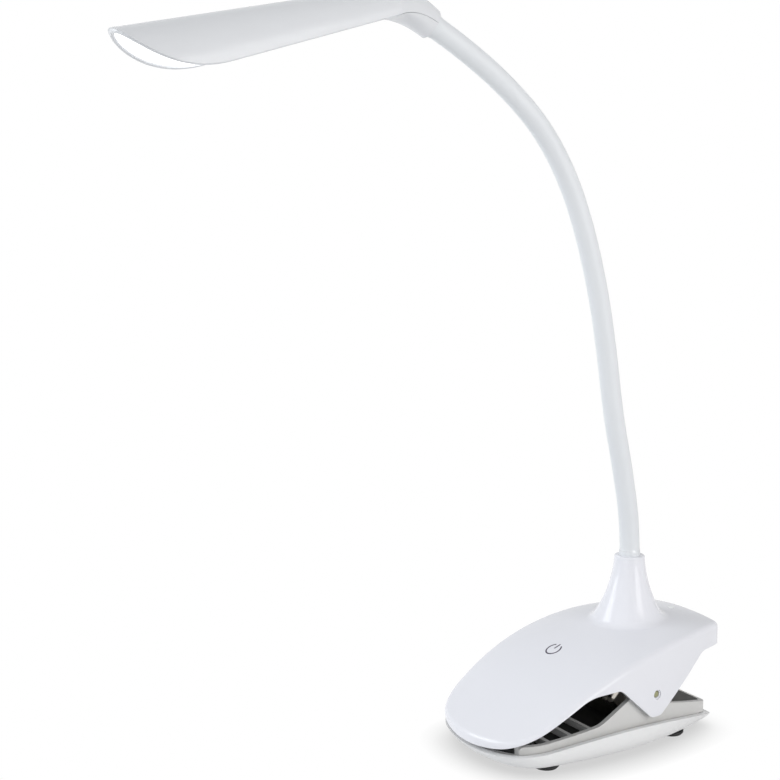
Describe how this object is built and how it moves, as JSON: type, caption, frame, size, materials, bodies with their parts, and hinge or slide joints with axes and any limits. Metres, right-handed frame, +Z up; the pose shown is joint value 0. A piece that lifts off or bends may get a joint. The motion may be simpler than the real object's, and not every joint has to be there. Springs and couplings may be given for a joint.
{
  "type": "rechargeable clip lamp",
  "caption": "White rechargeable LED lamp: trough-shaped head on a flexible neck, rising from a flared collar on a sprung mouse-shaped clip that also stands on rubber feet.",
  "frame": {"origin": "centre of the four rubber feet, on the surface the lamp stands on", "axes": "+Z up; the nose of the clip and the lamp head point along -Y; X runs across the lamp, along the hinge pin"},
  "size_m": [0.0736, 0.263, 0.3066],
  "materials": {
    "shell_white": "satin moulded plastic",
    "frame_white": "matt moulded plastic",
    "cover_grey": "matt moulded plastic",
    "pan_white": "satin moulded plastic",
    "head_white": "satin moulded plastic",
    "neck_white": "soft sleeve",
    "opal": "lit opal plastic",
    "clear_plastic": "clear",
    "black_rubber": "matt",
    "steel": "bright",
    "dark_steel": "plain",
    "battery_foil": "foil",
    "copper": "bare",
    "green_board": "varnished",
    "white_board": "white varnish",
    "led_yellow": "phosphor"
  },
  "bodies": {
    "lower_jaw": {"base_pan": "pan_white", "jaw_frame": "frame_white", "ballast_plate": "dark_steel", "foot_front_left": "black_rubber", "foot_front_right": "black_rubber", "foot_rear_left": "black_rubber", "foot_rear_right": "black_rubber", "pan_screws": "steel", "lower_grip_pad": "black_rubber", "hinge_pin": "steel", "clip_spring": "steel"},
    "upper_jaw": {"upper_shell": "shell_white", "upper_cover": "cover_grey", "upper_grip_pad": "black_rubber", "battery_pack": "battery_foil", "control_board": "green_board", "touch_plate": "copper", "charge_socket": "steel", "charge_light_pipe": "clear_plastic", "cover_screws": "steel", "neck_ferrule": "steel", "neck_nut": "steel"},
    "neck_01": {"neck_link_01": "neck_white"},
    "neck_02": {"neck_link_02": "neck_white"},
    "neck_03": {"neck_link_03": "neck_white"},
    "neck_04": {"neck_link_04": "neck_white"},
    "neck_05": {"neck_link_05": "neck_white"},
    "neck_06": {"neck_link_06": "neck_white"},
    "neck_07": {"neck_link_07": "neck_white"},
    "neck_08": {"neck_link_08": "neck_white"},
    "neck_09": {"neck_link_09": "neck_white"},
    "neck_10": {"neck_link_10": "neck_white"},
    "lamp_head": {"head_shell": "head_white", "head_neck_cover": "head_white", "diffuser": "opal", "led_board": "white_board", "leds": "led_yellow", "board_screws": "steel", "head_ferrule": "steel"}
  },
  "joints": [
    {"name": "clip_hinge", "type": "hinge", "parent": "lower_jaw", "child": "upper_jaw", "pos_m": [0, 0.013, 0.0256], "axis": [-1, 0, 0], "range_deg": [0, 25], "stiffness_Nm_per_rad": 0.8, "springref_deg": -40.11, "deforming": ["clip_spring"]},
    {"name": "neck_nod_01", "type": "hinge", "parent": "upper_jaw", "child": "neck_01", "pos_m": [0, 0.0255, 0.0777], "axis": [1, 0, 0], "range_deg": [-15, 15]},
    {"name": "neck_sway_02", "type": "hinge", "parent": "neck_01", "child": "neck_02", "pos_m": [0, 0.02287, 0.10273], "axis": [0, 0.9816, 0.1908], "range_deg": [-15, 15]},
    {"name": "neck_nod_03", "type": "hinge", "parent": "neck_02", "child": "neck_03", "pos_m": [0, 0.01752, 0.12735], "axis": [1, 0, 0], "range_deg": [-15, 15]},
    {"name": "neck_sway_04", "type": "hinge", "parent": "neck_03", "child": "neck_04", "pos_m": [0, 0.01272, 0.15208], "axis": [0, 0.989, 0.1478], "range_deg": [-15, 15]},
    {"name": "neck_nod_05", "type": "hinge", "parent": "neck_04", "child": "neck_05", "pos_m": [0, 0.0084, 0.17691], "axis": [1, 0, 0], "range_deg": [-15, 15]},
    {"name": "neck_sway_06", "type": "hinge", "parent": "neck_05", "child": "neck_06", "pos_m": [0, 0.00248, 0.2014], "axis": [0, 0.9613, 0.2756], "range_deg": [-15, 15]},
    {"name": "neck_nod_07", "type": "hinge", "parent": "neck_06", "child": "neck_07", "pos_m": [0, -0.00572, 0.22521], "axis": [1, 0, 0], "range_deg": [-15, 15]},
    {"name": "neck_sway_08", "type": "hinge", "parent": "neck_07", "child": "neck_08", "pos_m": [0, -0.01753, 0.24742], "axis": [0, 0.829, 0.5592], "range_deg": [-15, 15]},
    {"name": "neck_nod_09", "type": "hinge", "parent": "neck_08", "child": "neck_09", "pos_m": [0, -0.03418, 0.26624], "axis": [1, 0, 0], "range_deg": [-15, 15]},
    {"name": "neck_sway_10", "type": "hinge", "parent": "neck_09", "child": "neck_10", "pos_m": [0, -0.05435, 0.28131], "axis": [0, 0.5373, 0.8434], "range_deg": [-15, 15]},
    {"name": "neck_nod_11", "type": "hinge", "parent": "neck_10", "child": "lamp_head", "pos_m": [0, -0.07622, 0.29381], "axis": [1, 0, 0], "range_deg": [-15, 15]}
  ]
}
